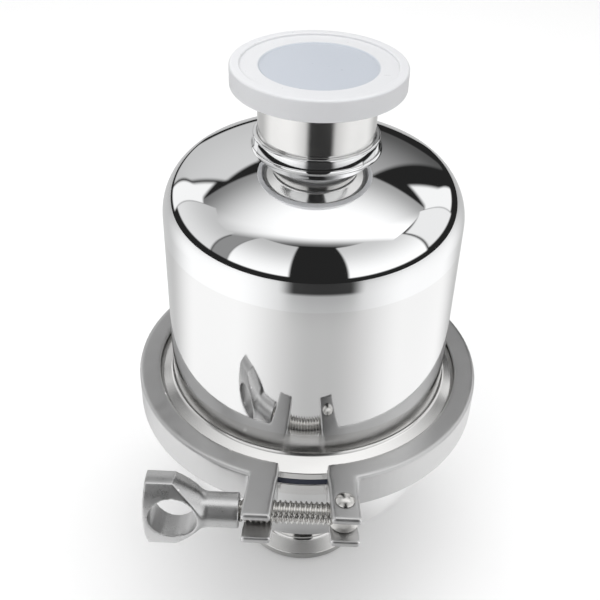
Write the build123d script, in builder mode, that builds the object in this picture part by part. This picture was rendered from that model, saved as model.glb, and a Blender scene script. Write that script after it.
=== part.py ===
from build123d import *
from math import atan2, cos, degrees, radians, sin, sqrt, tan
import os

# Sanitary inline strainer: a 4 inch tube housing with dished ends and 1.5 inch ferrules, held at its
# middle joint by a hinged two-half ring clamp with a swing bolt and an eye nut. Millimetres, +Z up.
# The origin is the centre of the outlet ferrule's face, on which the strainer stands. The clamp's
# ears and bolt are at the front, towards -Y.

# Tubes
body_r = 50.8
body_wall = 2.0
neck_r = 19.05
neck_wall = 1.65
weld_fit = 0.05

# Ferrule rims: the small ones at inlet and outlet, the large pair under the clamp
taper_deg = 20.0
rim_t = 2.85
small_rim_r = 25.25
large_rim_r = 57.5
groove_r = 1.4
bead_fit = 0.15
small_groove_at = 21.8
large_groove_at = 53.2
root_fillet = 1.6

# Heights along the axis
outlet_stub_len = 31.0
bowl_tangent_z = 58.0
lower_stub_end_z = 69.0
lower_face_z = 81.5
gasket_t = 2.65
body_stub_len = 14.0
dome_tangent_z = 155.8
inlet_face_z = 205.5
inlet_stub_len = 34.0

# Dished heads
dome_skirt = 6.0
dome_knuckle = 18.5
dome_crown = 85.0
bowl_knuckle = 30.0
bowl_crown = 85.0
collar_wall = 1.55
collar_len = 4.6
collar_fillet = 1.3
collar_round = 0.6

# Inlet cap, a thin moulded lid pushed over the ferrule's rim
cap_wall = 2.2
cap_top_t = 1.1
cap_fit = 0.3
cap_lip_fit = 0.1
cap_skirt = 5.0
cap_lip_h = 0.9
cap_ring_w = 3.2
cap_ring_h = 0.8
cap_plug_h = 0.8
cap_sink_r = 18.9
cap_sink = 0.5
cap_round = 0.7

# Ring clamp
seat_gap = 0.3
clamp_h = 13.8
clamp_in_r = 55.8
clamp_out_r = 63.5
clamp_groove_gap = 0.8
clamp_bevel_w = 1.0
clamp_bevel_h = 0.7
ear_gap = 8.2
ear_flare_deg = 5.0
ear_w = 9.6
ear_reach = 78.4
ear_root = 60.0
ear_round = 1.0
ear_bevel = 0.5
inner_corner = 2.0
slot_play = 0.3
slot_root_gap = 1.2
rear_gap = 0.6
pin_fit = 0.05

# Clamp hinge at the back
hinge_y = 66.8
knuckle_r = 4.6
knuckle_h = 5.0
knuckle_play = 0.3
hinge_pin_r = 2.4
pin_head_r = 3.6
pin_head_h = 1.1

# Swing bolt, its rivet and the eye nut
bolt_r = 3.8
bolt_y = -70.5
bolt_pin_x = 13.9
bolt_eye_r = 5.0
bolt_eye_h = 7.8
bolt_eye_round = 1.2
rivet_r = 2.4
rivet_head_r = 3.4
rivet_head_h = 1.9
nut_gap = 0.8
nut_shank_r = 5.75
nut_shank_len = 11.5
nut_neck_len = 9.3
nut_neck_fillet = 5.0
nut_head_len = 10.2
nut_head_half_h = 13.2
nut_side_bulge_r = 30.0
nut_side_clearance = 0.4
nut_end_bulge = 1.1
nut_eye_r = 7.9
nut_rim = 1.9
nut_turn_deg = 6.3
nut_thread_fit = 0.05
bolt_end_back = 3.0

# Strainer element inside
socket_r = 22.6
socket_top_z = 42.0
spigot_fit = 0.25
spigot_len = 9.5
spigot_bore_r = 14.0
oring_r = 1.3
oring_groove_w = 3.0
screen_r = 28.5
screen_wall = 1.2
screen_len = 104.0
screen_hole_r = 5.5
screen_holes = 8
screen_rows = 5
end_disc_r = 31.0
end_disc_t = 3.0
boss_h = 4.0
mesh_gap = 0.1
mesh_t = 0.5
handle_r = 2.25
handle_half = 12.0
handle_h = 13.0
handle_bend = 6.0

# Sizes that follow from the ones above
body_bore = body_r - body_wall
neck_bore = neck_r - neck_wall
upper_face_z = lower_face_z + gasket_t
mid_z = lower_face_z + gasket_t / 2
clamp_bottom_z = mid_z - clamp_h / 2
collar_r = neck_r + collar_wall
slot_half = bolt_eye_h / 2 + slot_play
ear_tan = tan(radians(ear_flare_deg))

os.makedirs("parts", exist_ok=True)


def save(part, name):
    """Label a finished piece and write it to its own file."""
    part.label = name
    export_step(part, f"parts/{name}.step")


def section_plane(z, up):
    """Half section through the axis: local x is the radius, local y runs up or down from height z."""
    return Plane(origin=(0, 0, z), x_dir=(1, 0, 0), z_dir=(0, -up, 0))


# Ferrules
def ferrule(face_z, up, rim_r, stub_r, bore_r, stub_len, groove_at):
    """Turned clamp ferrule: flat face with a three-sided seal groove, square rim, tapered back and stub."""
    back_h = rim_t + (rim_r - stub_r) * tan(radians(taper_deg))
    with BuildPart() as turned:
        with BuildSketch(section_plane(face_z, up)) as profile:
            with BuildLine():
                Polyline(
                    (bore_r, 0),
                    (rim_r, 0),
                    (rim_r, rim_t),
                    (stub_r, back_h),
                    (stub_r, stub_len),
                    (bore_r, stub_len),
                    close=True,
                )
            make_face()
            fillet(profile.vertices().sort_by_distance((stub_r, back_h))[0], root_fillet)
            with Locations((groove_at, 0)):
                RegularPolygon(groove_r, 6, mode=Mode.SUBTRACT)
        revolve(axis=Axis.Z)
    return turned.part


save(ferrule(0, 1, small_rim_r, neck_r, neck_bore, outlet_stub_len, small_groove_at), "outlet_ferrule")
save(ferrule(inlet_face_z, -1, small_rim_r, neck_r, neck_bore, inlet_stub_len, small_groove_at),
     "inlet_ferrule")
save(ferrule(upper_face_z, 1, large_rim_r, body_r, body_bore, body_stub_len, large_groove_at),
     "body_flange")
save(ferrule(lower_face_z, -1, large_rim_r, body_r, body_bore, lower_face_z - lower_stub_end_z,
             large_groove_at), "lower_flange")


# Dished heads
def dished_head(skirt_z, tangent_z, up, knuckle, crown):
    """Pressed end with a knuckle and a shallow crown, and a collar pulled up round the tube's hole."""
    skirt = abs(tangent_z - skirt_z)
    rise = sqrt((crown - knuckle) ** 2 - (body_r - knuckle) ** 2)
    turn = degrees(atan2(rise, body_r - knuckle))
    hole_r = neck_r + weld_fit
    outer_h = sqrt(crown ** 2 - collar_r ** 2) - rise
    inner_h = sqrt((crown - body_wall) ** 2 - hole_r ** 2) - rise
    with BuildPart() as head:
        with BuildSketch(section_plane(tangent_z, up)) as profile:
            with BuildLine():
                knuckle_out = CenterArc((body_r - knuckle, 0), knuckle, 0, turn)
                crown_out = TangentArc(knuckle_out @ 1, (collar_r, outer_h), tangent=knuckle_out % 1)
                knuckle_in = CenterArc((body_r - knuckle, 0), knuckle - body_wall, 0, turn)
                crown_in = TangentArc(knuckle_in @ 1, (hole_r, inner_h), tangent=knuckle_in % 1)
                Polyline(crown_out @ 1, (collar_r, outer_h + collar_len), (hole_r, outer_h + collar_len),
                         crown_in @ 1)
                Polyline(knuckle_out @ 0, (body_r, -skirt), (body_bore, -skirt), knuckle_in @ 0)
            make_face()
            fillet(profile.vertices().sort_by_distance((collar_r, outer_h))[0], collar_fillet)
            fillet(profile.vertices().sort_by_distance((collar_r, outer_h + collar_len))[0], collar_round)
        revolve(axis=Axis.Z)
    return head.part


body_tube_top_z = dome_tangent_z - dome_skirt
save(dished_head(body_tube_top_z, dome_tangent_z, 1, dome_knuckle, dome_crown), "dome_head")
save(dished_head(lower_stub_end_z, bowl_tangent_z, -1, bowl_knuckle, bowl_crown), "lower_bowl")

# Body tube, between the flange's stub and the dome
with BuildPart() as body_tube:
    with BuildSketch(Plane.XY.offset(upper_face_z + body_stub_len)):
        Circle(body_r)
        Circle(body_bore, mode=Mode.SUBTRACT)
    extrude(amount=body_tube_top_z - upper_face_z - body_stub_len)
save(body_tube.part, "body_tube")

# Body gasket: flat ring with a bead that sits in each flange's groove
with BuildPart() as gasket:
    with BuildSketch(section_plane(lower_face_z, 1)):
        with BuildLine():
            Polyline((body_bore, 0), (large_rim_r - seat_gap, 0), (large_rim_r - seat_gap, gasket_t),
                     (body_bore, gasket_t), close=True)
        make_face()
        with Locations((large_groove_at, 0), (large_groove_at, gasket_t)):
            RegularPolygon(groove_r - bead_fit, 6)
    revolve(axis=Axis.Z)
save(gasket.part, "body_gasket")

# Inlet cap
cap_r = small_rim_r + cap_fit + cap_wall
cap_base_z = inlet_face_z - cap_skirt
cap_roof_z = inlet_face_z + cap_lip_fit
with BuildPart() as inlet_cap:
    with BuildSketch(section_plane(cap_base_z, 1)) as cap_profile:
        with BuildLine():
            roof = cap_roof_z - cap_base_z
            Polyline(
                (0, roof - cap_plug_h),
                (neck_bore - cap_fit, roof - cap_plug_h),
                (neck_bore - cap_fit, roof),
                (small_rim_r + cap_fit, roof),
                (small_rim_r + cap_fit, cap_lip_h),
                (small_rim_r + cap_lip_fit, 0),
                (cap_r, 0),
                (cap_r, roof + cap_top_t + cap_ring_h),
                (cap_r - cap_ring_w, roof + cap_top_t + cap_ring_h),
                (cap_r - cap_ring_w, roof + cap_top_t),
                (cap_sink_r, roof + cap_top_t),
                (cap_sink_r - cap_sink, roof + cap_top_t - cap_sink),
                (0, roof + cap_top_t - cap_sink),
                close=True,
            )
        make_face()
        fillet(cap_profile.vertices().sort_by_distance((cap_r, roof + cap_top_t + cap_ring_h))[0], cap_round)
    revolve(axis=Axis.Z)
save(inlet_cap.part, "inlet_cap")

# Ring clamp
groove_wall_r = large_rim_r + clamp_groove_gap
rim_top = gasket_t / 2 + rim_t


def lip_under(r):
    """Height above the clamp's middle where the lip's underside lies over the ferrule's taper."""
    return rim_top + (large_rim_r - r) * tan(radians(taper_deg)) + seat_gap / cos(radians(taper_deg))


def clamp_half(side):
    """One half of the clamp: grooved half ring, forked ear at the front and knuckles at the back."""
    half_h = clamp_h / 2
    tip_gap = ear_gap + (ear_reach - ear_root) * ear_tan
    far = ear_reach + ear_w
    far_gap = ear_gap + (far - ear_root) * ear_tan
    with BuildPart() as half:
        # Ear, with rounded tips and bevelled edges
        with BuildSketch(Plane.XY.offset(clamp_bottom_z)) as ear:
            with BuildLine():
                Polyline(
                    (side * ear_gap, -ear_root),
                    (side * tip_gap, -ear_reach),
                    (side * (tip_gap + ear_w), -ear_reach),
                    (side * (ear_gap + ear_w), -ear_root),
                    close=True,
                )
            make_face()
            fillet(ear.vertices().group_by(Axis.Y)[0], ear_round)
        extrude(amount=clamp_h)
        chamfer(half.edges().group_by(Axis.Z)[0] + half.edges().group_by(Axis.Z)[-1], ear_bevel)
        # Grooved ring
        with BuildSketch(section_plane(mid_z, 1)):
            with BuildLine():
                Polyline(
                    (clamp_in_r, lip_under(clamp_in_r)),
                    (clamp_in_r, half_h),
                    (clamp_out_r - clamp_bevel_w, half_h),
                    (clamp_out_r, half_h - clamp_bevel_h),
                    (clamp_out_r, clamp_bevel_h - half_h),
                    (clamp_out_r - clamp_bevel_w, -half_h),
                    (clamp_in_r, -half_h),
                    (clamp_in_r, -lip_under(clamp_in_r)),
                    (groove_wall_r, -lip_under(groove_wall_r)),
                    (groove_wall_r, lip_under(groove_wall_r)),
                    close=True,
                )
            make_face()
        revolve(axis=Axis.Z)
        # The other half's side, the front gap and the small gap at the back
        with BuildSketch(Plane.XY.offset(clamp_bottom_z)):
            with BuildLine():
                Polyline(
                    (side * rear_gap, far),
                    (side * rear_gap, 0),
                    (side * ear_gap, -ear_root + clamp_out_r - clamp_in_r),
                    (side * ear_gap, -ear_root),
                    (side * far_gap, -far),
                    (-side * far, -far),
                    (-side * far, far),
                    close=True,
                )
            make_face()
        extrude(amount=clamp_h, mode=Mode.SUBTRACT)
        # Round the ring's inner corners beside the front gap
        corner = (side * ear_gap, -sqrt(clamp_in_r ** 2 - ear_gap ** 2), mid_z)
        fillet(half.edges().filter_by(Axis.Z).sort_by_distance(corner)[:2], inner_corner)
        # Slot that the swing bolt lies in, from the ear's tip to just short of the ring
        slot_root = bolt_y + bolt_eye_r + slot_root_gap
        with BuildSketch(Plane.XY.offset(mid_z - slot_half)):
            with Locations((side * (ear_gap + far) / 2, (slot_root - far) / 2)):
                Rectangle(far, far + slot_root)
        extrude(amount=2 * slot_half, mode=Mode.SUBTRACT)
        # Knuckles: the middle one on the left half, the outer two on the right half
        middle = (mid_z - knuckle_h / 2, knuckle_h)
        lower = (clamp_bottom_z, half_h - knuckle_h / 2 - knuckle_play)
        upper = (mid_z + knuckle_h / 2 + knuckle_play, half_h - knuckle_h / 2 - knuckle_play)
        own, other = ([middle], [lower, upper]) if side < 0 else ([lower, upper], [middle])
        for start, height in other:
            with BuildSketch(Plane.XY.offset(start - knuckle_play)):
                with Locations((0, hinge_y)):
                    Circle(knuckle_r + 2 * knuckle_play)
            extrude(amount=height + 2 * knuckle_play, mode=Mode.SUBTRACT)
        for start, height in own:
            with BuildSketch(Plane.XY.offset(start)):
                with Locations((0, hinge_y)):
                    Circle(knuckle_r)
                with BuildLine():
                    Polyline(
                        (0, hinge_y - knuckle_r / 2),
                        (0, hinge_y + knuckle_r),
                        (side * knuckle_r, hinge_y + knuckle_r / 2),
                        (side * 3 * knuckle_r, clamp_out_r - knuckle_r / 2),
                        (side * 2 * rear_gap, clamp_out_r - knuckle_r / 2),
                        close=True,
                    )
                make_face()
            extrude(amount=height)
        with BuildSketch(Plane.XY.offset(clamp_bottom_z)):
            with Locations((0, hinge_y)):
                Circle(hinge_pin_r + pin_fit)
        extrude(amount=clamp_h, mode=Mode.SUBTRACT)
        # Rivet hole through the right ear
        if side > 0:
            with BuildSketch(Plane.XY.offset(clamp_bottom_z)):
                with Locations((bolt_pin_x, bolt_y)):
                    Circle(rivet_r + pin_fit)
            extrude(amount=clamp_h, mode=Mode.SUBTRACT)
    return half.part


save(clamp_half(-1), "clamp_half_left")
save(clamp_half(1), "clamp_half_right")


def headed_pin(x, y, shank_r, head_r, head_h):
    """Rivet through the clamp's whole height, with a domed head at each end."""
    dome_r = (head_r ** 2 + head_h ** 2) / (2 * head_h)
    with BuildPart() as pin:
        with BuildSketch(Plane(origin=(x, y, mid_z), x_dir=(1, 0, 0), z_dir=(0, -1, 0))):
            with BuildLine():
                top = clamp_h / 2 + pin_fit
                Polyline((0, 0), (shank_r, 0), (shank_r, top), (head_r, top))
                RadiusArc((head_r, top), (0, top + head_h), -dome_r)
                Line((0, top + head_h), (0, 0))
            make_face()
        revolve(axis=Axis((x, y, 0), (0, 0, 1)))
        mirror(about=Plane.XY.offset(mid_z))
    return pin.part


save(headed_pin(0, hinge_y, hinge_pin_r, pin_head_r, pin_head_h), "clamp_hinge_pin")
save(headed_pin(bolt_pin_x, bolt_y, rivet_r, rivet_head_r, rivet_head_h), "bolt_rivet")

# Swing bolt: round eye on the rivet and a plain shank of the thread's outer size
ear_side_x = -(ear_gap + (ear_reach - ear_root) * ear_tan + ear_w)
nut_face_x = ear_side_x - nut_gap
nut_eye_x = nut_face_x - nut_shank_len - nut_neck_len - nut_head_len + nut_rim + nut_eye_r
bolt_end_x = nut_eye_x + nut_eye_r + bolt_end_back
with BuildPart() as swing_bolt:
    with BuildSketch(Plane(origin=(bolt_end_x, bolt_y, mid_z), x_dir=(0, 1, 0), z_dir=(1, 0, 0))):
        Circle(bolt_r)
    extrude(amount=bolt_pin_x - bolt_end_x)
    chamfer(swing_bolt.edges().group_by(Axis.X)[0], bolt_r / 5)
    with BuildSketch(Plane(origin=(bolt_pin_x, bolt_y, mid_z), x_dir=(1, 0, 0), z_dir=(0, -1, 0))) as eye:
        with BuildLine():
            Polyline((0, -bolt_eye_h / 2), (bolt_eye_r, -bolt_eye_h / 2), (bolt_eye_r, bolt_eye_h / 2),
                     (0, bolt_eye_h / 2), close=True)
        make_face()
        fillet(eye.vertices().group_by(Axis.X)[-1], bolt_eye_round)
    revolve(axis=Axis((bolt_pin_x, bolt_y, 0), (0, 0, 1)))
    with BuildSketch(Plane.XY.offset(mid_z - bolt_eye_h / 2)):
        with Locations((bolt_pin_x, bolt_y)):
            Circle(rivet_r + pin_fit)
    extrude(amount=bolt_eye_h, mode=Mode.SUBTRACT)
save(swing_bolt.part, "swing_bolt")

# Eye nut: turned shank that flares into a head with bulging sides, pierced by a large eye
head_end_x = nut_face_x - nut_shank_len - nut_neck_len - nut_head_len
neck_x = nut_face_x - nut_shank_len
head_x = neck_x - nut_neck_len
nut_side_y = nut_side_bulge_r - nut_shank_r - nut_side_clearance
nut_axis = Axis((0, bolt_y, mid_z), (1, 0, 0))
with BuildPart() as eye_nut:
    # Turned outline: shank, cone and a slightly domed end
    with BuildSketch(Plane(origin=(0, bolt_y, mid_z), x_dir=(1, 0, 0), z_dir=(0, -1, 0))) as outline:
        with BuildLine():
            Polyline(
                (head_end_x, 0),
                (nut_face_x, 0),
                (nut_face_x, nut_shank_r),
                (neck_x, nut_shank_r),
                (head_x, nut_head_half_h),
                (head_end_x + nut_end_bulge, nut_head_half_h),
            )
            ThreePointArc(
                (head_end_x + nut_end_bulge, nut_head_half_h),
                (head_end_x + nut_end_bulge / 4, nut_head_half_h / 2),
                (head_end_x, 0),
            )
        make_face()
        fillet(outline.vertices().sort_by_distance((neck_x, nut_shank_r))[0], nut_neck_fillet)
    revolve(axis=nut_axis)
    # Both sides pressed to shallow curves that leave the shank round
    with BuildSketch(Plane(origin=(nut_face_x, bolt_y, mid_z), x_dir=(0, 1, 0), z_dir=(-1, 0, 0))):
        with Locations((nut_side_y, 0)):
            Circle(nut_side_bulge_r)
        with Locations((-nut_side_y, 0)):
            Circle(nut_side_bulge_r, mode=Mode.INTERSECT)
    extrude(amount=nut_face_x - head_end_x, mode=Mode.INTERSECT)
    # Threaded bore, plain here, and the eye
    with BuildSketch(Plane(origin=(nut_face_x, bolt_y, mid_z), x_dir=(0, 1, 0), z_dir=(-1, 0, 0))):
        Circle(bolt_r + nut_thread_fit)
    extrude(amount=nut_face_x - nut_eye_x, mode=Mode.SUBTRACT)
    with BuildSketch(Plane(origin=(nut_eye_x, bolt_y, mid_z), x_dir=(1, 0, 0), z_dir=(0, -1, 0))):
        Circle(nut_eye_r)
    extrude(amount=nut_head_half_h, both=True, mode=Mode.SUBTRACT)
save(eye_nut.part.rotate(nut_axis, -nut_turn_deg), "eye_nut")

# Socket in the bowl that takes the strainer element's spigot
socket_base_z = bowl_tangent_z - (sqrt((bowl_crown - body_wall) ** 2 - socket_r ** 2)
                                  - sqrt((bowl_crown - bowl_knuckle) ** 2
                                         - (body_r - bowl_knuckle) ** 2)) + seat_gap
with BuildPart() as strainer_socket:
    with BuildSketch(Plane.XY.offset(socket_base_z)):
        Circle(socket_r)
        Circle(neck_r + weld_fit, mode=Mode.SUBTRACT)
    extrude(amount=socket_top_z - socket_base_z)
save(strainer_socket.part, "strainer_socket")

# Element's base: spigot with a seal groove, disc and boss for the perforated tube
boss_r = screen_r - screen_wall - weld_fit
spigot_r = neck_r + weld_fit - spigot_fit
oring_z = socket_top_z - spigot_len / 2
with BuildPart() as strainer_base:
    with BuildSketch(Plane.XY.offset(socket_top_z - spigot_len)):
        Circle(spigot_r)
    extrude(amount=spigot_len)
    with BuildSketch(Plane.XY.offset(socket_top_z)):
        Circle(end_disc_r)
    extrude(amount=end_disc_t)
    with BuildSketch(Plane.XY.offset(socket_top_z + end_disc_t)):
        Circle(boss_r)
    extrude(amount=boss_h)
    with BuildSketch(Plane.XY.offset(socket_top_z - spigot_len)):
        Circle(spigot_bore_r)
    extrude(amount=spigot_len + end_disc_t + boss_h, mode=Mode.SUBTRACT)
    with BuildSketch(Plane.XY.offset(oring_z - oring_groove_w / 2)):
        Circle(spigot_r)
        Circle(spigot_r + spigot_fit - 2 * oring_r, mode=Mode.SUBTRACT)
    extrude(amount=oring_groove_w, mode=Mode.SUBTRACT)
save(strainer_base.part, "strainer_base")

# Seal ring in the spigot's groove
with BuildPart() as spigot_oring:
    with BuildSketch(section_plane(oring_z, 1)):
        with Locations((spigot_r + spigot_fit - oring_r, 0)):
            Circle(oring_r - weld_fit)
    revolve(axis=Axis.Z)
save(spigot_oring.part, "spigot_oring")

# Perforated tube
screen_z = socket_top_z + end_disc_t
row_pitch = (screen_len - 2 * boss_h) / screen_rows
with BuildPart() as screen_tube:
    with BuildSketch(Plane.XY.offset(screen_z)):
        Circle(screen_r)
        Circle(screen_r - screen_wall, mode=Mode.SUBTRACT)
    extrude(amount=screen_len)
    for row in range(screen_rows):
        row_z = screen_z + boss_h + (row + 0.5) * row_pitch
        stagger = 180 / screen_holes * (row % 2)
        for step in range(screen_holes // 2):
            angle = radians(stagger + 360 / screen_holes * step)
            across = Plane(origin=(0, 0, row_z), z_dir=(cos(angle), sin(angle), 0))
            with BuildSketch(across):
                Circle(screen_hole_r)
            extrude(amount=2 * screen_r, both=True, mode=Mode.SUBTRACT)
save(screen_tube.part, "screen_tube")

# Fine mesh sleeve round the perforated tube
with BuildPart() as mesh_sleeve:
    with BuildSketch(Plane.XY.offset(screen_z)):
        Circle(screen_r + mesh_gap + mesh_t)
        Circle(screen_r + mesh_gap, mode=Mode.SUBTRACT)
    extrude(amount=screen_len)
save(mesh_sleeve.part, "mesh_sleeve")

# Element's top disc, with a boss that fits the perforated tube
top_disc_z = screen_z + screen_len
with BuildPart() as strainer_top:
    with BuildSketch(Plane.XY.offset(top_disc_z - boss_h)):
        Circle(boss_r)
    extrude(amount=boss_h)
    with BuildSketch(Plane.XY.offset(top_disc_z)):
        Circle(end_disc_r)
    extrude(amount=end_disc_t)
save(strainer_top.part, "strainer_top")

# Lifting handle: a bent rod that stands on the top disc
handle_z = top_disc_z + end_disc_t
with BuildPart() as strainer_handle:
    with BuildLine() as handle_path:
        FilletPolyline(
            (-handle_half, 0, handle_z),
            (-handle_half, 0, handle_z + handle_h),
            (handle_half, 0, handle_z + handle_h),
            (handle_half, 0, handle_z),
            radius=handle_bend,
        )
    with BuildSketch(Plane(origin=(-handle_half, 0, handle_z), z_dir=(0, 0, 1))):
        Circle(handle_r)
    sweep()
save(strainer_handle.part, "strainer_handle")
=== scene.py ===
# %% [markdown]
# # A sanitary inline strainer
#
# The strainer is a polished steel pot with a dished lid, a brushed neck under a milky plastic cap, and a cast
# ring clamp round its middle. Most of it was turned on a lathe or pressed over a former, so most of this lesson
# spins half sections round one axis. The clamp is the odd one out: it is a casting, and its soft edges come from
# rebuilding its surface as a skin of small squares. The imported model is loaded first, because every piece here has
# to sit exactly where that model says.

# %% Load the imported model
from math import asin, atan2, ceil, cos, degrees, pi, radians, sin, sqrt, tan

import bmesh
import bpy
from mathutils import Matrix, Vector


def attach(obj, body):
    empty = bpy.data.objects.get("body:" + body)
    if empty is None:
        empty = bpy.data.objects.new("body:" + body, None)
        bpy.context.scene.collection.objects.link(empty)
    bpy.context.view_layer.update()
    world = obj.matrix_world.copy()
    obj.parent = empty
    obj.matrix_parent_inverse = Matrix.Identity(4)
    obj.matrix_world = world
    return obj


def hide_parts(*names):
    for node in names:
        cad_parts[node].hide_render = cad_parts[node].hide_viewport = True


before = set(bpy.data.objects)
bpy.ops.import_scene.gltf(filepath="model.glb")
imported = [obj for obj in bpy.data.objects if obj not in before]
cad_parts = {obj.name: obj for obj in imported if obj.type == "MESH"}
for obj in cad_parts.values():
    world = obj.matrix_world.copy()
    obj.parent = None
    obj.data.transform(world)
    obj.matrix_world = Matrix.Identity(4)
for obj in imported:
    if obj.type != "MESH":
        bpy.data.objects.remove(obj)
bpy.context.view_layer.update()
mm = 0.001

# %% [markdown]
# The camera stands close to the strainer and looks down at it, which is why the dome looks so wide and the outlet
# so small. Its place, turn and lens were found once by fitting circles of known size to the picture's ellipses, and
# they are kept here as plain numbers: a distance, a height and three angles.

# %% Camera
camera_distance = 266.87 * mm
camera_height = 316.57 * mm
camera_pan = radians(-0.775)
camera_tilt = radians(36.855)
camera_roll = radians(1.83)
camera_lens = 54.775

look = Vector((sin(camera_pan) * cos(camera_tilt), cos(camera_pan) * cos(camera_tilt), -sin(camera_tilt)))
level = Vector((cos(camera_pan), -sin(camera_pan), 0))
upright = level.cross(look)
side = level * cos(camera_roll) + upright * sin(camera_roll)
top = upright * cos(camera_roll) - level * sin(camera_roll)
camera_data = bpy.data.cameras.new("camera")
camera_data.lens = camera_lens
camera_data.sensor_width = 36
camera = bpy.data.objects.new("camera", camera_data)
turn = Matrix((side, top, -look)).transposed().to_4x4()
camera.matrix_world = Matrix.Translation((0, -camera_distance, camera_height)) @ turn
bpy.context.scene.collection.objects.link(camera)
bpy.context.scene.camera = camera
print("camera at", [round(v, 3) for v in camera.location])

# %% [markdown]
# Every finish below is a small network of nodes. One helper adds a node, fills its sockets with numbers or with the
# outputs of other nodes, and hands back the output that the next node needs, so a network reads like a sum.

# %% Node helper


def add(tree, kind, inputs=None, output=0, **settings):
    """Adds a shader node to a tree and returns one of its outputs."""
    node = tree.nodes.new("ShaderNode" + kind)
    for key, value in settings.items():
        setattr(node, key, value)
    for key, value in (inputs or {}).items():
        if isinstance(value, bpy.types.NodeSocket):
            tree.links.new(value, node.inputs[key])
        else:
            node.inputs[key].default_value = value
    return node.outputs[output]


def sums(tree, operation, *values):
    """A math node on numbers or outputs."""
    return add(tree, "Math", dict(enumerate(values)), operation=operation)


def step_between(tree, value, low, high, start=0.0, stop=1.0):
    """Smooth step from start to stop as the value goes from low to high."""
    limits = {"From Min": low, "From Max": high, "To Min": start, "To Max": stop}
    return add(tree, "MapRange", {"Value": value, **limits}, interpolation_type="SMOOTHSTEP")


# %% [markdown]
# Polished steel has no colour of its own: it shows the studio. So the studio matters more than the steel. This one
# is painted into the world by direction, as large soft panels in a dim room: a wide one overhead, tall ones to the
# left and right of the camera with a dark gap between them, and a few behind. A panel is a smooth mask over two
# angles, the bearing round the strainer and the height above the horizon. The camera itself sees only a pale wall.

# %% Studio world
world = bpy.data.worlds.new("studio")
bpy.context.scene.world = world
world.use_nodes = True
sky = world.node_tree
sky.nodes.clear()
east, north, height = (add(sky, "SeparateXYZ", {0: add(sky, "TexCoord", output="Generated")}, output=axis)
                       for axis in "XYZ")
bearing = sums(sky, "DEGREES", sums(sky, "ARCTAN2", east, sums(sky, "MULTIPLY", north, -1.0)))
altitude = sums(sky, "DEGREES", sums(sky, "ARCSINE", height))


def window(value, low, high, soft):
    """1 between two limits, with soft edges, and 0 outside them."""
    rise = step_between(sky, value, low - soft, low + soft)
    return sums(sky, "MULTIPLY", rise, step_between(sky, value, high - soft, high + soft, 1.0, 0.0))


def panel(bearings, altitudes, glow, fade=0.0, soft=1.5):
    """A soft-edged upright panel; fade lowers its glow from the bottom edge to the top edge."""
    mask = sums(sky, "MULTIPLY", window(bearing, *bearings, soft), window(altitude, *altitudes, soft))
    return sums(sky, "MULTIPLY", mask, step_between(sky, altitude, *altitudes, glow, glow * (1 - fade)))


def ceiling(across, along, glow, edge, soft=0.03):
    """The overhead panel, a rectangle seen from below, brightest a little right of its middle."""
    above = sums(sky, "MAXIMUM", height, 0.02)
    u = sums(sky, "DIVIDE", east, above)
    v = sums(sky, "DIVIDE", north, above)
    mask = sums(sky, "MULTIPLY", window(u, *across, soft), window(v, *along, soft))
    front = step_between(sky, v, along[0], along[0] + 0.42, edge, 1.0)
    back = step_between(sky, v, 0.05, along[1], 1.0, 0.3)
    left = step_between(sky, u, across[0], 0.1, 0.5, 1.0)
    spread = sums(sky, "MULTIPLY", front, sums(sky, "MULTIPLY", back, left))
    return sums(sky, "MULTIPLY", mask, sums(sky, "MULTIPLY", spread, glow))


panels = (
    ceiling((-1.15, 1.1), (-0.52, 0.82), 1.3, 0.1),
    panel((-60, -15), (2, 60), 1.15, 0.5),
    panel((-74, -60), (2, 52), 0.3),
    panel((-121, -75), (2, 46), 0.85, 0.3),
    panel((-138, -121), (-4, 36), 1.05),
    panel((-178, -140), (-4, 40), 0.6, -0.2),
    panel((26, 88), (0, 58), 1.2, 0.45),
    panel((90, 124), (2, 40), 0.95),
    panel((124, 141), (4, 36), 1.05),
    panel((152, 178), (3, 50), 0.1, -3.5),
)
room_glow = 0.02
total = room_glow
for one in panels:
    total = sums(sky, "MAXIMUM", total, one)
studio_light = add(sky, "Background", {"Color": total})
wall_light = add(sky, "Background", {"Color": (0.97, 0.97, 0.975, 1)})
seen = add(sky, "LightPath", output="Is Camera Ray")
choice = add(sky, "MixShader", {0: seen, 1: studio_light, 2: wall_light})
world_out = sky.nodes.new("ShaderNodeOutputWorld")
sky.links.new(choice, world_out.inputs["Surface"])
bpy.context.scene.view_settings.view_transform = "Standard"
print("studio panels", len(panels))

# %% [markdown]
# The floor is a plain pale disc to the camera. It ends about a metre away, so that the steel shows a thin dark line at
# the horizon, as steel does in a real studio whose table has an edge. The steel also needs a table that is darker in
# front, where the camera keeps the light off, or the tube would have no shape. So reflected rays meet a painted shade,
# a base colour that darkens with the bearing round the strainer and with distance in front, and the camera's own rays
# meet an even pale one.

# %% Floor
floor_radius = 1.15
floor_mesh = bpy.data.meshes.new("floor")
floor_form = bmesh.new()
bmesh.ops.create_circle(floor_form, cap_ends=True, radius=floor_radius, segments=128)
floor_form.to_mesh(floor_mesh)
floor_form.free()
floor = bpy.data.objects.new("floor", floor_mesh)
bpy.context.scene.collection.objects.link(floor)
floor_finish = bpy.data.materials.new("floor_pale_painted_shade")
floor_finish.use_nodes = True
floor_shader = floor_finish.node_tree.nodes["Principled BSDF"]
table = floor_finish.node_tree
spot = add(table, "NewGeometry", output="Position")
spot_x, spot_y = (add(table, "SeparateXYZ", {0: spot}, output=axis) for axis in "XY")
towards = sums(table, "DEGREES", sums(table, "ARCTAN2", spot_x, sums(table, "MULTIPLY", spot_y, -1.0)))
off_front = sums(table, "ABSOLUTE", sums(table, "SUBTRACT", towards, 8.0))
# Painted shade for reflected rays: the table's colour darkens in front of the strainer, where the camera keeps the
# light off, and a little behind it.
shade = step_between(table, off_front, 5.0, 62.0, 0.48, 0.95)
shade = sums(table, "MULTIPLY", shade, step_between(table, off_front, 98.0, 135.0, 1.0, 0.55))
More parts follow.
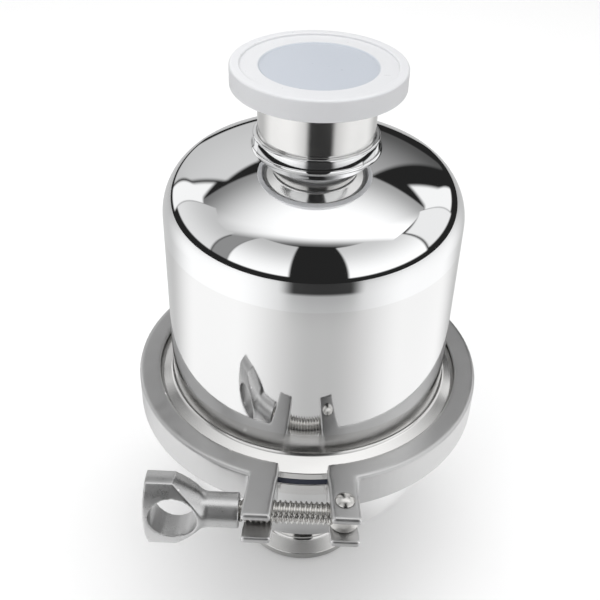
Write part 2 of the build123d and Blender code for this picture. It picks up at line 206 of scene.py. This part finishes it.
away = sums(table, "SQRT", sums(table, "ADD", sums(table, "MULTIPLY", spot_x, spot_x),
                                sums(table, "MULTIPLY", spot_y, spot_y)))
# Painted shade: beyond about a quarter metre the front sector goes nearly black in reflections.
front_painted_shade = step_between(table, off_front, 18.0, 30.0, 0.06, 1.0)
shade = sums(table, "MULTIPLY", shade,
             add(table, "Mix", {0: step_between(table, away, 0.22, 0.34), 2: 1.0, 3: front_painted_shade}))
# Camera rays see the even pale floor; reflected rays see the painted shade.
mirrored = add(table, "LightPath", output="Is Glossy Ray")
even = add(table, "Mix", {0: mirrored, 2: 0.93, 3: shade})
table.links.new(even, floor_shader.inputs["Base Color"])
floor_shader.inputs["Roughness"].default_value = 0.75
floor_shader.inputs["Specular IOR Level"].default_value = 0.1
floor_mesh.materials.append(floor_finish)
floor.location.z = -0.3 * mm

# %% [markdown]
# Two soft lamps fill what the panels leave: a large one overhead for the floor and the cast clamp, and a small one
# from the front left, which draws the light edges on the ears and the nut. Neither shows in the steel.

# %% Lamps


def soft_lamp(name, place, size, power):
    """An area lamp that points at the strainer and doesn't show in mirrors."""
    data = bpy.data.lights.new(name, "AREA")
    data.size = size
    data.energy = power
    lamp = bpy.data.objects.new(name, data)
    lamp.location = place
    lamp.rotation_euler = (Vector((0, 0, 0.1)) - Vector(place)).to_track_quat("-Z", "Y").to_euler()
    lamp.visible_glossy = False
    bpy.context.scene.collection.objects.link(lamp)


soft_lamp("top_lamp", (0, 0.1, 1.2), 1.4, 9)
soft_lamp("front_lamp", (-0.5, -0.8, 0.8), 0.5, 2.5)

# %% [markdown]
# Four effects are shared by the finishes, so each is a node group with named inputs. Turning leaves fine rings round
# an axis: noise whose coordinates run slowly round the circle and fast along the height and the radius. Blasting
# leaves an even grain. Blender's pointiness finds the edges of a casting, which handling wears smoother and which
# get a painted highlight, a lighter colour standing in for the light they catch. Polishing leaves a faint haze that
# breaks a mirror just enough to look like metal.

# %% Shared effects


def effect(name, numbers, *results):
    """An empty node group with number inputs and value outputs; returns the tree, its inputs and its output node."""
    tree = bpy.data.node_groups.new(name, "ShaderNodeTree")
    for label, value in numbers.items():
        kind = "NodeSocketVector" if isinstance(value, tuple) else "NodeSocketFloat"
        socket = tree.interface.new_socket(label, in_out="INPUT", socket_type=kind)
        socket.default_value = value
    for label in results:
        tree.interface.new_socket(label, in_out="OUTPUT", socket_type="NodeSocketFloat")
    return tree, tree.nodes.new("NodeGroupInput").outputs, tree.nodes.new("NodeGroupOutput")


def noise(tree, place, scale, detail=2.0, roughness=0.5):
    """Noise from 0 to 1 at a place."""
    return add(tree, "TexNoise", {"Vector": place, "Scale": scale, "Detail": detail, "Roughness": roughness})


rings, given, out = effect("turned_rings", {"Centre": (0.0, 0.0, 0.0), "Rings per mm": 4.0, "Streaks": 3.0},
                           "Height", "Shade")
place = add(rings, "VectorMath", {0: add(rings, "TexCoord", output="Object"), 1: given["Centre"]},
            operation="SUBTRACT")
x, y, z = (add(rings, "SeparateXYZ", {0: place}, output=axis) for axis in "XYZ")
reach = sums(rings, "SQRT", sums(rings, "ADD", sums(rings, "MULTIPLY", x, x), sums(rings, "MULTIPLY", y, y)))
reach = sums(rings, "MAXIMUM", reach, 0.0001)
across = sums(rings, "MULTIPLY", sums(rings, "DIVIDE", x, reach), given["Streaks"])
along = sums(rings, "MULTIPLY", sums(rings, "DIVIDE", y, reach), given["Streaks"])
climb = sums(rings, "MULTIPLY", sums(rings, "ADD", reach, z), sums(rings, "MULTIPLY", given["Rings per mm"], 1000.0))
wound = add(rings, "CombineXYZ", {"X": across, "Y": along, "Z": climb})
rings.links.new(noise(rings, wound, 1.0, 3.0, 0.65), out.inputs["Height"])
slow = add(rings, "CombineXYZ", {"X": across, "Y": along, "Z": sums(rings, "MULTIPLY", climb, 0.12)})
rings.links.new(noise(rings, slow, 1.0), out.inputs["Shade"])

blast, given, out = effect("blasted_grain", {"Grain per mm": 3.5}, "Height", "Shade")
place = add(blast, "TexCoord", output="Object")
grain = sums(blast, "MULTIPLY", given["Grain per mm"], 1000.0)
fine = noise(blast, place, grain, 3.0, 0.7)
blast.links.new(fine, out.inputs["Height"])
patch = noise(blast, place, sums(blast, "MULTIPLY", grain, 0.06), 2.0)
blast.links.new(sums(blast, "ADD", sums(blast, "MULTIPLY", fine, 0.6), sums(blast, "MULTIPLY", patch, 0.4)),
                out.inputs["Shade"])

# The edge mask makes edges smoother and, in the castings, also carries a painted highlight.
edge_wear_and_highlight, given, out = effect("edge_wear_and_painted_highlight", {"From": 0.53, "To": 0.6}, "Edge")
point = add(edge_wear_and_highlight, "NewGeometry", output="Pointiness")
edge_wear_and_highlight.links.new(step_between(edge_wear_and_highlight, point, given["From"], given["To"]), out.inputs["Edge"])

haze, given, out = effect("polish_haze", {"Marks per mm": 0.05}, "Shade")
place = add(haze, "TexCoord", output="Object")
marks = sums(haze, "MULTIPLY", given["Marks per mm"], 1000.0)
haze.links.new(noise(haze, place, marks, 4.0, 0.7), out.inputs["Shade"])
print("effects", [tree.name for tree in (rings, blast, edge_wear_and_highlight, haze)])

# %% [markdown]
# Each finish starts from one Principled shader whose fixed numbers are set on its own sockets. An effect is then
# mixed in between two values, so that the roughness, the colour or the bump varies round the number a maker would
# quote. The mirror is nearly smooth, the body tube has a fine satin, the turned faces carry rings, and the castings
# are matt, with smoother edges that carry a painted highlight.

# %% Finishes


def use(tree, group, output, **numbers):
    """Puts a node group into a material and returns one of its outputs."""
    node = tree.nodes.new("ShaderNodeGroup")
    node.node_tree = group
    for label, value in numbers.items():
        node.inputs[label.replace("_", " ")].default_value = value
    return node.outputs[output]


def finish(name, colour, metallic=1.0, **numbers):
    """A material of one Principled shader; returns the material, its tree and the shader's inputs."""
    material = bpy.data.materials.new(name)
    material.use_nodes = True
    inputs = material.node_tree.nodes["Principled BSDF"].inputs
    inputs["Base Color"].default_value = (*colour, 1)
    inputs["Metallic"].default_value = metallic
    for label, value in numbers.items():
        inputs[label.replace("_", " ")].default_value = value
    return material, material.node_tree, inputs


def vary(tree, inputs, label, mask, low, high):
    """Feeds one socket of the shader with a value that goes from low to high with a mask."""
    limits = {"From Min": 0.25, "From Max": 0.75, "To Min": low, "To Max": high}
    tree.links.new(add(tree, "MapRange", {"Value": mask, **limits}), inputs[label])


def tint(tree, inputs, mask, dark, light):
    """Mixes the base colour between two colours with a mask."""
    colour = add(tree, "Mix", {0: mask, 6: (*dark, 1), 7: (*light, 1)}, output=2, data_type="RGBA")
    tree.links.new(colour, inputs["Base Color"])


def emboss(tree, inputs, height, depth, strength=1.0):
    """Turns a height into a bump of a depth in millimetres."""
    bump = add(tree, "Bump", {"Height": height, "Distance": depth * mm, "Strength": strength})
    tree.links.new(bump, inputs["Normal"])


mirror, tree, inputs = finish("steel_mirror", (0.86, 0.865, 0.87), Roughness=0.03)
shade = use(tree, haze, "Shade")
vary(tree, inputs, "Roughness", shade, 0.015, 0.05)

satin, tree, inputs = finish("steel_satin", (0.80, 0.80, 0.80), Roughness=0.05)
vary(tree, inputs, "Roughness", use(tree, rings, "Shade", Rings_per_mm=2.0, Streaks=2.0), 0.02, 0.06)
emboss(tree, inputs, use(tree, rings, "Height", Rings_per_mm=5.0, Streaks=2.0), 0.001)


def turned(name, colour, low, high, depth, centre=(0.0, 0.0, 0.0), fine=3.0):
    """Turned steel with rings round an axis."""
    material, tree, inputs = finish(name, colour, Roughness=low)
    shade = use(tree, rings, "Shade", Rings_per_mm=fine / 2, Centre=centre)
    vary(tree, inputs, "Roughness", shade, low, high)
    tint(tree, inputs, shade, tuple(0.9 * c for c in colour), colour)
    emboss(tree, inputs, use(tree, rings, "Height", Rings_per_mm=fine, Centre=centre), depth)
    return material


turned_steel = turned("steel_turned", (0.78, 0.775, 0.765), 0.12, 0.26, 0.006)
neck_steel = turned("steel_neck", (0.78, 0.775, 0.765), 0.08, 0.16, 0.005)
inner_steel = turned("steel_inner", (0.62, 0.62, 0.61), 0.2, 0.35, 0.006)


def cast(name, colour, roughness, grain):
    """Blasted cast steel whose worn edges are smoother and carry a painted highlight."""
    material, tree, inputs = finish(name, colour, Roughness=roughness)
    shade = use(tree, blast, "Shade", Grain_per_mm=grain)
    edge = use(tree, edge_wear_and_highlight, "Edge")
    matt = step_between(tree, shade, 0.3, 0.7, roughness - 0.05, roughness + 0.07)
    smooth = add(tree, "Mix", {0: edge, 2: matt, 3: 0.16})
    tree.links.new(smooth, inputs["Roughness"])
    low = add(tree, "Mix", {0: shade, 6: (*(0.85 * c for c in colour), 1), 7: (*colour, 1)}, output=2,
              data_type="RGBA")
    # Painted highlight: edges found by pointiness get a lighter base colour, standing in for the light that rounded
    # edges catch.
    painted_edge_highlight = add(tree, "Mix", {0: edge, 6: low, 7: (0.92, 0.92, 0.92, 1)}, output=2, data_type="RGBA")
    tree.links.new(painted_edge_highlight, inputs["Base Color"])
    emboss(tree, inputs, use(tree, blast, "Height", Grain_per_mm=grain), 0.03, 0.6)
    return material


clamp_steel = cast("steel_clamp", (0.66, 0.66, 0.66), 0.34, 3.5)
nut_steel = cast("steel_nut", (0.68, 0.68, 0.68), 0.3, 4.0)
bolt_steel = cast("steel_bolt", (0.74, 0.73, 0.71), 0.2, 5.0)

mesh_steel, tree, inputs = finish("steel_mesh", (0.5, 0.5, 0.5), Roughness=0.45)
weave = use(tree, blast, "Height", Grain_per_mm=6.0)
vary(tree, inputs, "Roughness", weave, 0.35, 0.6)
emboss(tree, inputs, weave, 0.05)

seal, tree, inputs = finish("seal_navy", (0.006, 0.012, 0.035), metallic=0.0, Roughness=0.42)
shade = use(tree, blast, "Shade", Grain_per_mm=2.0)
vary(tree, inputs, "Roughness", shade, 0.36, 0.5)
tint(tree, inputs, shade, (0.005, 0.010, 0.028), (0.010, 0.018, 0.050))

milky, tree, inputs = finish("cap_milky", (0.86, 0.87, 0.88), metallic=0.0, Roughness=0.3, IOR=1.5)
inputs["Subsurface Weight"].default_value = 0.35
inputs["Subsurface Radius"].default_value = (1.0, 1.0, 1.0)
inputs["Subsurface Scale"].default_value = 0.002
place = add(tree, "TexCoord", output="Object")
flat = add(tree, "VectorMath", {0: place, 1: (1.0, 1.0, 0.0)}, operation="MULTIPLY")
from_axis = add(tree, "VectorMath", {0: flat}, output="Value", operation="LENGTH")
# Painted shade: the middle disc gets a darker blue-grey base colour for the dark bore showing through the thin cap.
see_through_shade_edge = step_between(tree, from_axis, 18.5 * mm, 19.2 * mm)
colour = add(tree, "Mix", {0: see_through_shade_edge, 6: (0.49, 0.52, 0.57, 1), 7: (0.68, 0.685, 0.70, 1)}, output=2,
             data_type="RGBA")
tree.links.new(colour, inputs["Base Color"])
vary(tree, inputs, "Roughness", use(tree, haze, "Shade", Marks_per_mm=0.4), 0.26, 0.36)
print("finishes", [material.name for material in bpy.data.materials])

# %% [markdown]
# A turned or pressed piece is a half section spun round an axis. Its corners are never sharp, and the thin light
# line on a rounded corner is what makes steel look solid, so the section is written as corners with a radius each,
# and a helper swaps every such corner for a short arc.

# %% Half sections


def arc(centre, radius, start, stop, steps=28):
    """Points along an arc of a half section; 0 degrees points outwards and 90 degrees up."""
    turns = (radians(start + (stop - start) * k / steps) for k in range(steps + 1))
    return [(centre[0] + radius * cos(t), centre[1] + radius * sin(t)) for t in turns]


def rounded(corners):
    """Swaps each corner that carries a radius for an arc; corners are (distance from axis, height, radius)."""
    outline = []
    for k, corner in enumerate(corners):
        here = Vector(corner[:2])
        if len(corner) == 2 or not corner[2]:
            outline.append(tuple(here))
            continue
        back = (Vector(corners[k - 1][:2]) - here).normalized()
        ahead = (Vector(corners[(k + 1) % len(corners)][:2]) - here).normalized()
        half = back.angle(ahead) / 2
        middle = here + (back + ahead).normalized() * corner[2] / sin(half)
        first = here + back * corner[2] / tan(half) - middle
        last = here + ahead * corner[2] / tan(half) - middle
        start = atan2(first.y, first.x)
        sweep = (atan2(last.y, last.x) - start + pi) % (2 * pi) - pi
        steps = max(4, ceil(abs(sweep) / radians(12)))
        for n in range(steps + 1):
            turn = start + sweep * n / steps
            outline.append((middle.x + corner[2] * cos(turn), middle.y + corner[2] * sin(turn)))
    return outline


def spin(name, outline, centre=(0.0, 0.0), segments=256):
    """Spins a closed half section, in millimetres, round an upright axis and returns the piece."""
    form = bmesh.new()
    turns = [2 * pi * k / segments for k in range(segments)]
    rings = []
    for reach, height in outline:
        angles = turns if reach > 0.001 else turns[:1]
        rings.append([form.verts.new(((centre[0] + reach * cos(t)) * mm, (centre[1] + reach * sin(t)) * mm,
                                      height * mm)) for t in angles])
    for near, far in zip(rings, rings[1:] + rings[:1]):
        for k in range(segments):
            corners = [near[k % len(near)], near[(k + 1) % segments % len(near)],
                       far[(k + 1) % segments % len(far)], far[k % len(far)]]
            different = list(dict.fromkeys(corners))
            if len(different) > 2:
                form.faces.new(different)
    bmesh.ops.recalc_face_normals(form, faces=form.faces)
    mesh = bpy.data.meshes.new(name)
    form.to_mesh(mesh)
    form.free()
    return piece_from(name, mesh)


def piece_from(name, mesh):
    """Makes a smooth-shaded piece from a mesh and links it."""
    mesh.shade_smooth()
    mesh.set_sharp_from_angle(angle=radians(35))
    piece = bpy.data.objects.new(name, mesh)
    bpy.context.scene.collection.objects.link(piece)
    even = piece.modifiers.new("even_shading", "WEIGHTED_NORMAL")
    even.keep_sharp = True
    return piece


def settle(piece, material, slot, body, *nodes):
    """Gives a piece its finish and its body, and hides the nodes it stands for; its slot argument is not used."""
    piece.data.materials.append(material)
    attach(piece, body)
    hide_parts(*nodes)
    print(piece.name, len(piece.data.polygons), "faces")


# %% [markdown]
# The two dished heads come off the same kind of former: a shallow crown of large radius, a tight knuckle that turns
# down to the tube, and a short collar pulled up round the hole for the neck. The knuckle and the crown must meet
# with one tangent, or the mirror shows a kink, so the crown's centre is worked out from the knuckle's.

# %% Dished heads
body_r, body_wall = 50.8, 2.0
neck_r, neck_wall = 19.05, 1.65
collar_r, hole_r = 20.6, 19.1
dome_tangent_z, dome_skirt_z = 155.8, 149.8
bowl_tangent_z, bowl_skirt_z = 58.0, 69.0


def head(name, skirt_z, tangent_z, up, knuckle, crown, collar_len):
    """A pressed end; up is 1 for the dome and -1 for the bowl."""
    rise = sqrt((crown - knuckle) ** 2 - (body_r - knuckle) ** 2)
    turn = degrees(atan2(rise, body_r - knuckle))
    outer_h = sqrt(crown ** 2 - collar_r ** 2) - rise
    inner_r = crown - body_wall
    inner_h = sqrt(inner_r ** 2 - hole_r ** 2) - rise
    stop_out = degrees(atan2(sqrt(crown ** 2 - (collar_r + 2) ** 2), collar_r + 2))
    stop_in = degrees(atan2(sqrt(inner_r ** 2 - hole_r ** 2), hole_r))
    section = [(body_r, -abs(tangent_z - skirt_z))]
    section += arc((body_r - knuckle, 0), knuckle, 0, turn, 40)
    section += arc((0, -rise), crown, turn, stop_out, 40)[1:]
    section += [(collar_r, outer_h, 1.3), (collar_r, outer_h + collar_len, 0.7),
                (hole_r, outer_h + collar_len, 0.3)]
    section += arc((0, -rise), inner_r, stop_in, turn, 20)
    section += arc((body_r - knuckle, 0), knuckle - body_wall, turn, 0, 20)[1:]
    section += [(body_r - body_wall, -abs(tangent_z - skirt_z))]
    outline = [(reach, tangent_z + up * height) for reach, height in rounded(section)]
    return spin(name, outline, segments=320)


settle(head("dome", dome_skirt_z, dome_tangent_z, 1, 18.5, 85.0, 4.6), mirror, "mirror_steel", "housing",
       "dome_head")
settle(head("bowl", bowl_skirt_z, bowl_tangent_z, -1, 30.0, 85.0, 4.6), satin, "satin_steel", "housing",
       "lower_bowl")

# %% [markdown]
# The tube and the four ferrules are plain turned sections. A ferrule has a flat face with a seal groove, a square
# rim, a back that slopes at 20 degrees for the clamp to bite on, and a small fillet where the slope meets its tube.

# %% Tube and ferrules
upper_face_z, lower_face_z = 84.15, 81.5
inlet_face_z = 205.5
rim_t = 2.85
taper = tan(radians(20))

tube = [(body_r, upper_face_z + 14), (body_r, dome_skirt_z), (body_r - body_wall, dome_skirt_z),
        (body_r - body_wall, upper_face_z + 14)]
settle(spin("tube", tube, segments=320), satin, "satin_steel", "housing", "body_tube")


def ferrule(name, face_z, up, rim_r, stub_r, wall, stub_len, groove_at, groove_r=1.4):
    """A clamp ferrule with its face at face_z and its tube towards up."""
    back_h = rim_t + (rim_r - stub_r) * taper
    half, depth = groove_r / 2, groove_r * sin(pi / 3)
    section = [(stub_r - wall, 0, 0.25), (groove_at - groove_r, 0), (groove_at - half, depth, 0.3),
               (groove_at + half, depth, 0.3), (groove_at + groove_r, 0), (rim_r, 0, 0.35),
               (rim_r, rim_t, 0.35), (stub_r, back_h, 1.6), (stub_r, stub_len), (stub_r - wall, stub_len)]
    return spin(name, [(reach, face_z + up * height) for reach, height in rounded(section)])


settle(ferrule("upper_flange_turned", upper_face_z, 1, 57.5, body_r, body_wall, 14.0, 53.2), turned_steel,
       "turned_steel", "housing", "body_flange")
settle(ferrule("lower_flange_turned", lower_face_z, -1, 57.5, body_r, body_wall, 12.5, 53.2), turned_steel,
       "turned_steel", "housing", "lower_flange")
settle(ferrule("inlet_neck", inlet_face_z, -1, 25.25, neck_r, neck_wall, 34.0, 21.8), neck_steel,
       "turned_steel", "housing", "inlet_ferrule")
settle(ferrule("outlet_neck", 0.0, 1, 25.25, neck_r, neck_wall, 31.0, 21.8), neck_steel,
       "turned_steel", "housing", "outlet_ferrule")

# %% [markdown]
# The gasket is a flat ring with a bead on each side. Between the two steel rims only its edge shows, a dark line
# that tells the eye where the housing opens.

# %% Gasket
gasket_t, bead_r = 2.65, 1.25
bead_h = bead_r * sin(pi / 3)
bead = [(53.2 - bead_r, 0), (53.2 - bead_r / 2, bead_h, 0.2), (53.2 + bead_r / 2, bead_h, 0.2),
        (53.2 + bead_r, 0)]
section = [(48.8, gasket_t)] + [(p[0], gasket_t + p[1], *p[2:]) for p in bead]
section += [(57.2, gasket_t, 0.3), (57.2, 0, 0.3)]
section += [(p[0], -p[1], *p[2:]) for p in reversed(bead)] + [(48.8, 0)]
settle(spin("gasket", [(reach, lower_face_z + height) for reach, height in rounded(section)]), seal,
       "seal_rubber", "housing", "body_gasket")

# %% [markdown]
# The cap is moulded thin and pushed over the inlet's rim. Its outer rim stands proud of the top, a flat ring lies
# inside it, and the middle is sunk half a millimetre, where the dark bore below shows through; that blue-grey is a
# painted shade in the cap's base colour.

# %% Cap
cap_r, cap_base_z, cap_roof = 27.75, 200.5, 5.1
section = [(0, cap_roof - 0.8), (17.1, cap_roof - 0.8, 0.2), (17.1, cap_roof, 0.1), (25.55, cap_roof, 0.3),
           (25.55, 0.9, 0.2), (25.35, 0, 0.08), (cap_r, 0, 0.5), (cap_r, cap_roof + 1.9, 0.75),
           (cap_r - 3.2, cap_roof + 1.9, 0.5), (cap_r - 3.2, cap_roof + 1.1, 0.25),
           (18.9, cap_roof + 1.1, 0.3), (18.4, cap_roof + 0.6, 0.3), (0, cap_roof + 0.6)]
settle(spin("cap", [(reach, cap_base_z + height) for reach, height in rounded(section)]), milky,
       "cap_plastic", "cap", "inlet_cap")

# %% [markdown]
# Two headed pins hold the clamp: one through its knuckles at the back, and one through the right ear and the
# bolt's eye. A riveted head is a low dome, so its section is an arc that ends on the axis.

# %% Pins
mid_z = 82.825
half_clamp = 6.9


def headed_pin(name, x, y, shank_r, head_r, head_h):
    """A pin with a domed head above and below."""
    ball = (head_r ** 2 + head_h ** 2) / (2 * head_h)
    edge = degrees(asin((ball - head_h) / ball))
    seat = half_clamp + 0.05
    dome = arc((0, seat + head_h - ball), ball, 90, edge, 14)
    half = dome[:-1] + [(head_r, seat, 0.25), (shank_r, seat)]
    other = [(p[0], -p[1], *p[2:]) for p in reversed(half)]
    outline = [(max(reach, 0), mid_z + height) for reach, height in rounded(half + other)]
    return spin(name, outline, (x, y), segments=64)


settle(headed_pin("hinge_pin", 0.0, 66.8, 2.4, 3.6, 1.1), bolt_steel, "bolt_steel", "housing",
       "clamp_hinge_pin")
settle(headed_pin("rivet", 13.9, -70.5, 2.4, 3.4, 1.9), bolt_steel, "bolt_steel", "housing", "bolt_rivet")

# %% [markdown]
# The swing bolt's thread is real geometry. The surface is a grid wound round the bolt's axis, and the radius of each
# point depends on how far it lies from the crest of the helix, so crests and roots come out with even flanks. The
# eye that swings on the rivet is a short turned barrel.

# %% Swing bolt
bolt_y, bolt_pin_x, bolt_end_x = -70.5, 13.9, -30.51
bolt_crest_r, thread_depth, thread_pitch = 3.8, 0.72, 1.7
eye_r, eye_h = 5.0, 7.8


def threaded_rod(name, start, stop, around=64, per_turn=14):
    """A rod along X whose radius follows a helix."""
    form = bmesh.new()
    count = ceil((stop - start) / thread_pitch * per_turn)
    rows = []
    for k in range(count + 1):
        x = start + (stop - start) * k / count
        tip = min(1.0, 0.75 + 0.25 * (x - start) / 1.2)
        row = []
        for n in range(around):
            turn = 2 * pi * n / around
            phase = (x / thread_pitch + n / around) % 1.0
            rise = abs(2 * phase - 1)
            shape = min(max((rise - 0.1) / 0.72, 0.0), 1.0)
            reach = (bolt_crest_r - thread_depth * (1 - shape)) * tip
            row.append(form.verts.new((x * mm, (bolt_y + reach * cos(turn)) * mm,
                                       (mid_z + reach * sin(turn)) * mm)))
        rows.append(row)
    for near, far in zip(rows, rows[1:]):
        for n in range(around):
            form.faces.new((near[n], near[(n + 1) % around], far[(n + 1) % around], far[n]))
    form.faces.new(rows[0])
    form.faces.new(rows[-1])
    bmesh.ops.recalc_face_normals(form, faces=form.faces)
    mesh = bpy.data.meshes.new(name)
    form.to_mesh(mesh)
    form.free()
    return piece_from(name, mesh)


eye_section = [(2.45, -eye_h / 2, 0.2), (eye_r, -eye_h / 2, 1.2), (eye_r, eye_h / 2, 1.2), (2.45, eye_h / 2, 0.2)]
eye_outline = [(reach, mid_z + height) for reach, height in rounded(eye_section)]
settle(spin("bolt_eye", eye_outline, (bolt_pin_x, bolt_y), segments=64), bolt_steel, "bolt_steel", "bolt",
       "swing_bolt")
settle(threaded_rod("bolt_thread", bolt_end_x, bolt_pin_x - 3.0), bolt_steel, "bolt_steel", "bolt",
       "swing_bolt")

# %% [markdown]
# The clamp and its nut are castings: flat faces, soft edges, no line truly sharp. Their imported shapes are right, so
# they stay, and two modifiers do the softening. A remesh rebuilds the skin from small cubes, and a smooth draws each
# vertex towards its neighbours, which leaves flats flat and wears the edges round.

# %% Castings


def soften(name, cube, rounds, material):
    """Rebuilds a packed casting's skin from small cubes and wears its edges round."""
    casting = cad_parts[name]
    skin = casting.modifiers.new("skin", "REMESH")
    skin.mode = "VOXEL"
    skin.voxel_size = cube * mm
    skin.use_smooth_shade = True
    wear = casting.modifiers.new("wear", "SMOOTH")
    wear.factor = 0.5
    wear.iterations = rounds
    dress(name, material)


def dress(name, material):
    """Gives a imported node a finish."""
    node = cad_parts[name]
    if not node.material_slots:
        node.data.materials.append(material)
    for slot in node.material_slots:
        slot.material = material


soften("clamp_half_left", 0.5, 4, clamp_steel)
soften("clamp_half_right", 0.5, 4, clamp_steel)
soften("eye_nut", 0.3, 4, nut_steel)

# %% [markdown]
# The strainer element inside shows only through the outlet, or with the housing open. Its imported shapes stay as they
# are and only get their finishes.

# %% Inner pieces
for name in ("strainer_socket", "strainer_base", "screen_tube", "strainer_top", "strainer_handle"):
    dress(name, inner_steel)
dress("mesh_sleeve", mesh_steel)
dress("spigot_oring", seal)
